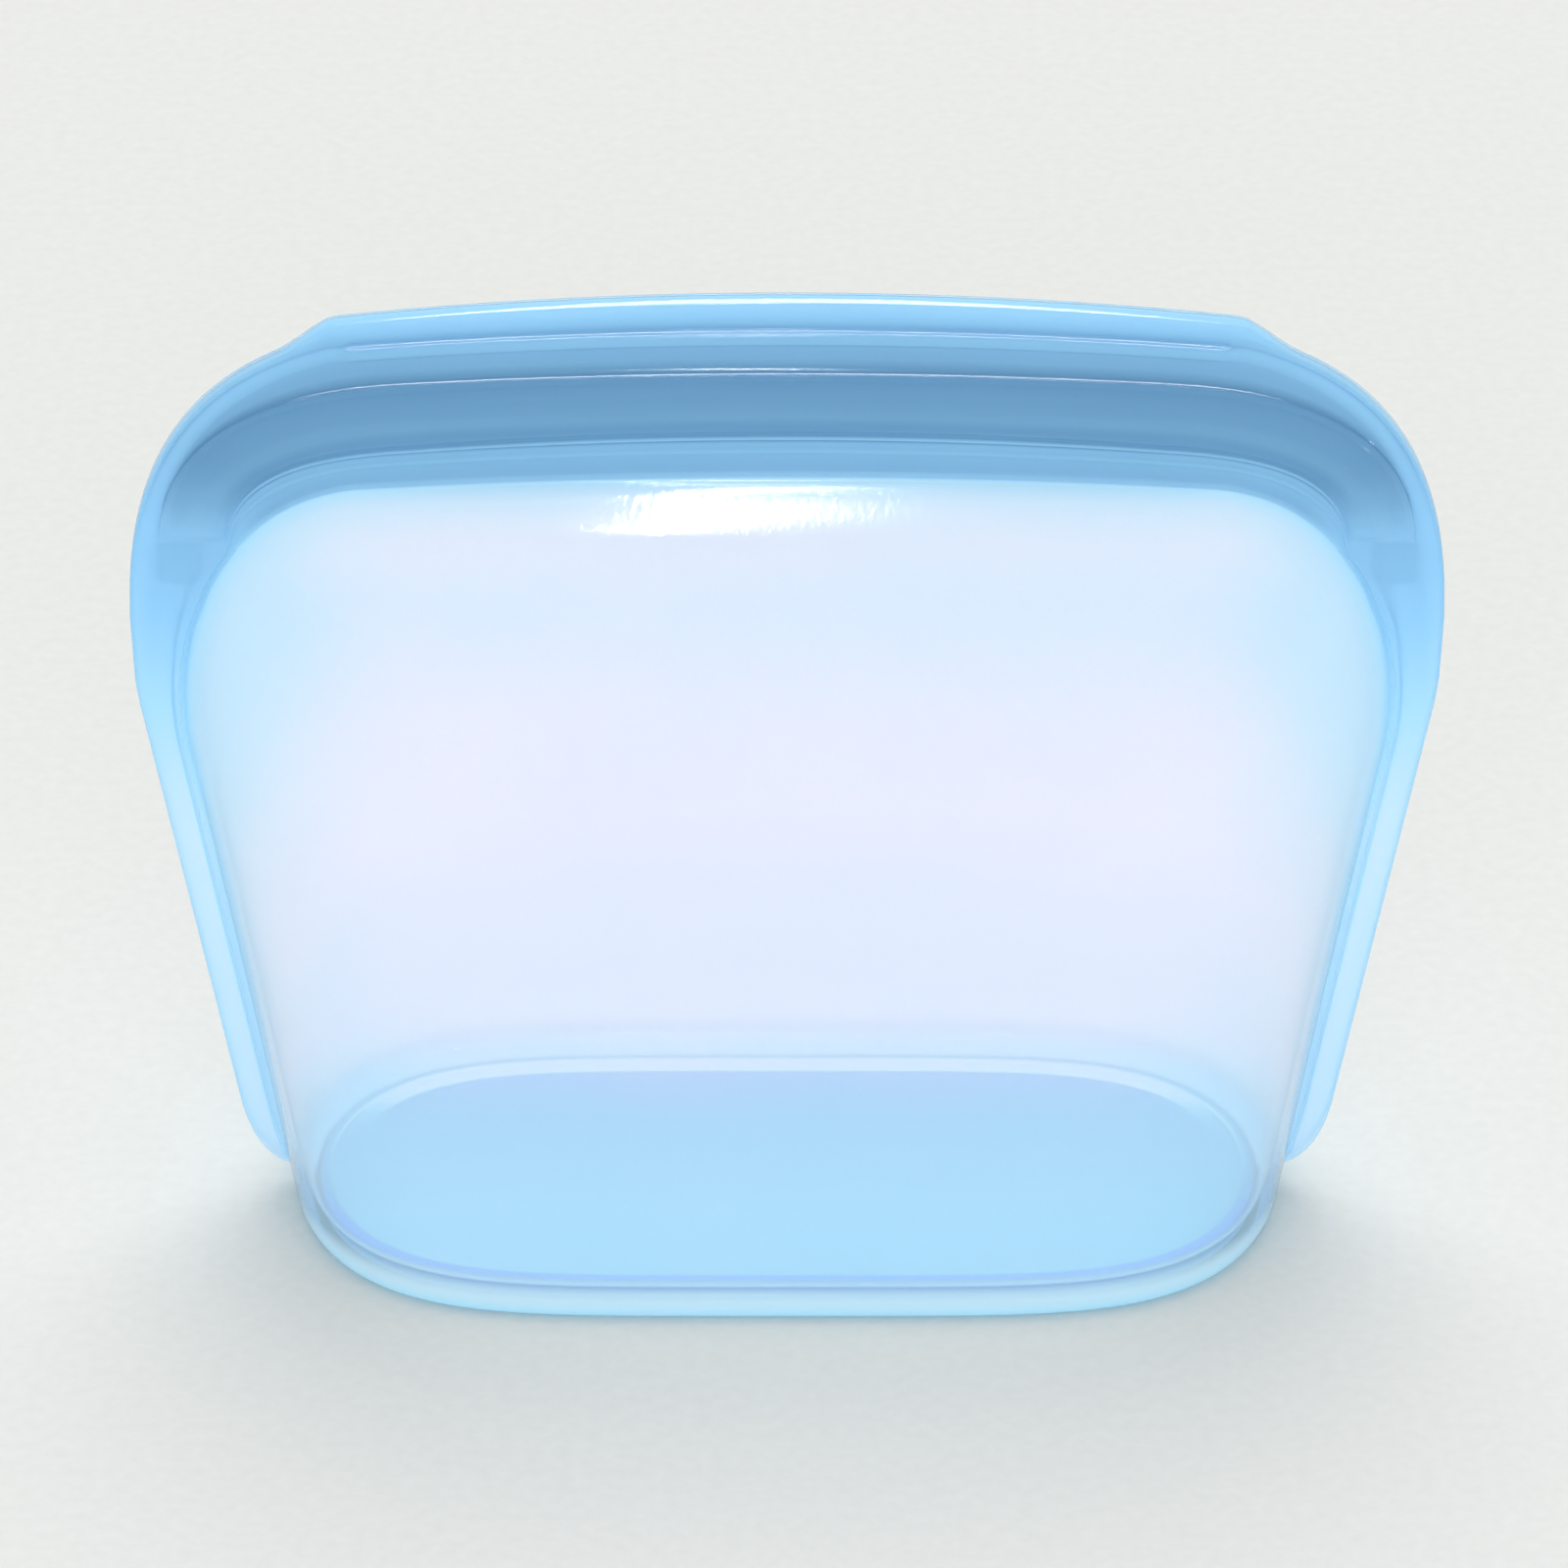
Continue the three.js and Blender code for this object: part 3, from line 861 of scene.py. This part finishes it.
def attribute(nodes, name, output):
    node = nodes.new("ShaderNodeAttribute")
    node.attribute_name = name
    return node.outputs[output]


def mixed(nodes, links, share, first, second):
    """A mix of two shaders: all of the first at 0, and all of the second at 1."""
    node = nodes.new("ShaderNodeMixShader")
    for socket, source in zip(node.inputs, (share, first, second)):
        links.new(source, socket)
    return node.outputs["Shader"]


print("stops on the colour ramp:", len(COLOURS), "and on the cover ramp:", len(COVER))

# %% The tint, clouded and streaked
CLOUD_SCALE, CLOUDINESS = 22, 0.05
GRAIN_SCALE, GRAININESS = 900, 0.03
STREAKS = 0.09


def clouded(nodes, links, depth, clouds, grain):
    """The tint with its clouds, grain and streaks, as a share of the deepest tint."""
    drift = maths(nodes, links, "MULTIPLY_ADD", clouds, CLOUDINESS, -CLOUDINESS / 2)
    speckle = maths(nodes, links, "MULTIPLY_ADD", grain, GRAININESS, -GRAININESS / 2)
    streaks = noise(nodes, links, attribute(nodes, "flow", "Vector"), 1, 1)
    streaked = maths(nodes, links, "MULTIPLY_ADD", streaks, STREAKS, 1 - STREAKS / 2)
    cloudy = maths(nodes, links, "ADD", drift, speckle)
    cloudy = maths(nodes, links, "ADD", cloudy, maths(nodes, links, "MULTIPLY", streaked, depth))
    return maths(nodes, links, "DIVIDE", cloudy, DEEPEST)


print("clouds, grain and streaks change the tint by up to:", CLOUDINESS, GRAININESS, STREAKS)

# %% The body, which is coloured where it is deep and clear where it is thin
PAINTED_GLOW = 0.14  # painted glow: emission in the silicone's own hue that lightens it all over, in place of light scattered inside the clear body
BODY_ROUGHNESS = 0.5
THICK_FOOT = (3.6, 7.4)  # the foot's extra cover is full below the first height and gone by the second
THICK_FOOT_COVER = 0.45


def foot_cover(nodes, links, place):
    height = nodes.new("ShaderNodeSeparateXYZ")
    links.new(place, height.inputs["Vector"])
    foot = nodes.new("ShaderNodeMapRange")
    foot.interpolation_type = "SMOOTHSTEP"
    foot.inputs["From Min"].default_value = THICK_FOOT[0] * MM
    foot.inputs["From Max"].default_value = THICK_FOOT[1] * MM
    foot.inputs["To Min"].default_value = THICK_FOOT_COVER
    foot.inputs["To Max"].default_value = 0
    links.new(height.outputs["Z"], foot.inputs["Value"])
    return foot.outputs["Result"]


def veiled_body(nodes, links, shade, place, colours):
    hue = ramp(nodes, [(p / DEEPEST, colour(*c)) for p, c in colours])
    cover = ramp(nodes, [(p / DEEPEST, (c, c, c, 1)) for p, c in COVER])
    for node in (hue, cover):
        links.new(shade, node.inputs["Fac"])
    body = nodes["Principled BSDF"]
    # The hue also feeds the emission: a painted glow that lightens the silicone without any lamp.
    for socket in ("Base Color", "Emission Color"):
        links.new(hue.outputs["Color"], body.inputs[socket])
    body.inputs["Roughness"].default_value = BODY_ROUGHNESS
    body.inputs["Specular IOR Level"].default_value = 0
    body.inputs["Emission Strength"].default_value = PAINTED_GLOW
    clear = nodes.new("ShaderNodeBsdfTransparent")
    held_back = maths(nodes, links, "ADD", cover.outputs["Color"], foot_cover(nodes, links, place))
    return mixed(nodes, links, held_back, clear.outputs["BSDF"], body.outputs["BSDF"])


print("the foot holds back", THICK_FOOT_COVER, "more light below", THICK_FOOT[0], "mm")

# %% The gloss
SILICONE_IOR = 1.41
STRAIGHT_GLOSS = ((SILICONE_IOR - 1) / (SILICONE_IOR + 1)) ** 2  # the share of light mirrored head on
GRAZING_POWER = 5.0  # how suddenly the mirroring grows towards a grazing view
GLOSS_ROUGHNESS = 0.08
BUMP_STRENGTH, BUMP_DISTANCE = 0.08, 0.0002


def gloss(nodes, links, clouds, grain):
    """The mirrored light, which the clouds soften and the grain breaks up."""
    bump = nodes.new("ShaderNodeBump")
    bump.inputs["Strength"].default_value = BUMP_STRENGTH
    bump.inputs["Distance"].default_value = BUMP_DISTANCE
    links.new(grain, bump.inputs["Height"])
    mirror = nodes.new("ShaderNodeBsdfGlossy")
    softness = maths(nodes, links, "MULTIPLY_ADD", clouds, GLOSS_ROUGHNESS, GLOSS_ROUGHNESS / 2)
    links.new(softness, mirror.inputs["Roughness"])
    links.new(bump.outputs["Normal"], mirror.inputs["Normal"])
    return mirror.outputs["BSDF"]


def mirrored_share(nodes, links):
    facing = nodes.new("ShaderNodeLayerWeight").outputs["Facing"]
    grazing = maths(nodes, links, "POWER", facing, GRAZING_POWER)
    return maths(nodes, links, "MULTIPLY_ADD", grazing, 1 - STRAIGHT_GLOSS, STRAIGHT_GLOSS)


print("share of light mirrored head on:", round(STRAIGHT_GLOSS, 3))

# %% Mix the silicone
def silicone(name, tint=None, colours=COLOURS):
    """Silicone whose tint is the piece's own attribute, or one value all over."""
    material = bpy.data.materials.new(name)
    material.use_nodes = True
    nodes, links = material.node_tree.nodes, material.node_tree.links
    place = nodes.new("ShaderNodeTexCoord").outputs["Object"]
    clouds = noise(nodes, links, place, CLOUD_SCALE, 3)
    grain = noise(nodes, links, place, GRAIN_SCALE, 2)
    depth = attribute(nodes, "tint", "Fac") if tint is None else tint
    shade = clouded(nodes, links, depth, clouds, grain)
    veil = veiled_body(nodes, links, shade, place, colours)
    skin = gloss(nodes, links, clouds, grain)
    surface = mixed(nodes, links, mirrored_share(nodes, links), veil, skin)
    links.new(surface, nodes["Material Output"].inputs["Surface"])
    return material


wall_silicone = silicone("wall_silicone")
band_silicone = silicone("band_silicone", tint=0.8)
base_silicone = silicone("base_silicone", colours=BASE_COLOURS)
seam_silicone = silicone("seam_silicone", tint=0.6)
for material in (wall_silicone, band_silicone, base_silicone, seam_silicone):
    print(material.name, "nodes:", len(material.node_tree.nodes))

# %% Give each piece its silicone
for shell in (front_shell, back_shell):
    shell.data.materials.append(wall_silicone)
for rib in ribs:
    rib.data.materials.append(band_silicone)
base_floor_piece.data.materials.append(base_silicone)
for name in ("left_end_stop", "right_end_stop"):
    stop = bpy.data.objects[name]
    stop.data.materials.clear()
    stop.data.materials.append(seam_silicone)
    print(name, "is now in", stop.data.materials[0].name)

# %% [markdown]
# ## The stage
# The bag stands on a wide sheet of pale matt paper, so that nothing competes with the silicone. The
# paper has a faint fibre pattern, which is too weak to see as marks but keeps it from looking flat.

# %% Lay the paper
PAPER_SIZE = 8.0  # metres from the middle to the edge
FIBRE_SCALE = 400
DARK_FIBRE, LIGHT_FIBRE = (0.80, 0.81, 0.785, 1), (0.83, 0.84, 0.815, 1)

bm = bmesh.new()
bmesh.ops.create_grid(bm, x_segments=1, y_segments=1, size=PAPER_SIZE)
floor_mesh = bpy.data.meshes.new("floor")
bm.to_mesh(floor_mesh)
bm.free()
put("floor", floor_mesh)
print("paper across, m:", 2 * PAPER_SIZE)

# %% Colour the paper
paper = bpy.data.materials.new("paper")
paper.use_nodes = True
paper_nodes, paper_links = paper.node_tree.nodes, paper.node_tree.links
place = paper_nodes.new("ShaderNodeTexCoord").outputs["Object"]
fibres = noise(paper_nodes, paper_links, place, FIBRE_SCALE, 3)
shade = ramp(paper_nodes, ((0.3, DARK_FIBRE), (0.7, LIGHT_FIBRE)))
sheet = paper_nodes["Principled BSDF"]
paper_links.new(fibres, shade.inputs["Fac"])
paper_links.new(shade.outputs["Color"], sheet.inputs["Base Color"])
sheet.inputs["Specular IOR Level"].default_value = 0
floor_mesh.materials.append(paper)
print("paper's nodes:", len(paper_nodes))

# %% [markdown]
# ## Light
# A white room and two broad lights, one overhead and one in front, fill the pouch evenly and leave a
# soft shadow. The shine on silicone comes from small bright shapes. A long strip above draws the line
# along the tab and the shoulder, a small window in front makes the one bright stroke, and a second
# one to the right catches the corner.

# %% Whiten the room
ROOM_COLOUR, ROOM_STRENGTH = (1, 0.998, 0.99, 1), 0.54

room = bpy.data.worlds.new("studio")
bpy.context.scene.world = room
room.use_nodes = True
walls = room.node_tree.nodes["Background"]
walls.inputs["Color"].default_value = ROOM_COLOUR
walls.inputs["Strength"].default_value = ROOM_STRENGTH
bpy.context.scene.view_settings.view_transform = "Standard"
print("light from the room:", ROOM_STRENGTH)

# %% Helpers that hang lights
LOOK_AT = Vector((0, 0, 0.08))


def hang(name, data, place, glossy, diffuse, roll=0):
    light = put(name, data)
    light.location = place
    aim = (LOOK_AT - Vector(place)).to_track_quat("-Z", "Y")
    light.rotation_euler = (aim @ Quaternion((0, 0, 1), math.radians(roll))).to_euler()
    light.visible_glossy, light.visible_diffuse = glossy, diffuse


def wide_light(name, place, power, spread):
    """A broad, even light from one side, which fills but makes no highlight."""
    data = bpy.data.lights.new(name, "SUN")
    data.energy = power
    data.angle = math.radians(spread)
    hang(name, data, place, False, True)


def highlight(name, place, size, power, roll=0):
    """A small bright shape that shows only in the gloss, and tapers to its ends."""
    data = bpy.data.lights.new(name, "AREA")
    data.shape = "ELLIPSE"
    data.size, data.size_y = size
    data.energy = power
    hang(name, data, place, True, False, roll)


print("lights look at, m:", tuple(round(v, 2) for v in LOOK_AT))

# %% Hang the lights
wide_light("overhead", (0, 0.7, 1.4), 1.45, 42)
wide_light("front", (0, -1.6, 0.35), 1.35, 60)
highlight("long strip", (0, -0.4, 1.5), (1.7, 0.26), 27)
highlight("window", (-0.022, -1.056, 0.902), (0.3, 0.026), 1.6, roll=77)
highlight("corner window", (1.29, -0.53, 0.6), (0.04, 0.12), 4)

# %% [markdown]
# ## The camera
# It looks down on the front by about 32 degrees through a long lens, so that the upright sides stay
# nearly parallel and the base shows through the front wall.

# %% Place the camera
CAMERA_ELEVATION = math.radians(31.8)
CAMERA_DISTANCE = 1.5277
LENS, SENSOR_WIDTH = 212.1, 36
AIM = Vector((-0.0005, 0, 0.07934))

camera_data = bpy.data.cameras.new("camera")
camera_data.lens = LENS
camera_data.sensor_width = SENSOR_WIDTH
camera = put("camera", camera_data)
back = Vector((0, -math.cos(CAMERA_ELEVATION), math.sin(CAMERA_ELEVATION)))
camera.location = AIM + back * CAMERA_DISTANCE
camera.rotation_euler = (-back).to_track_quat("-Z", "Y").to_euler()
bpy.context.scene.camera = camera
print("camera at, m:", [round(v, 3) for v in camera.location])
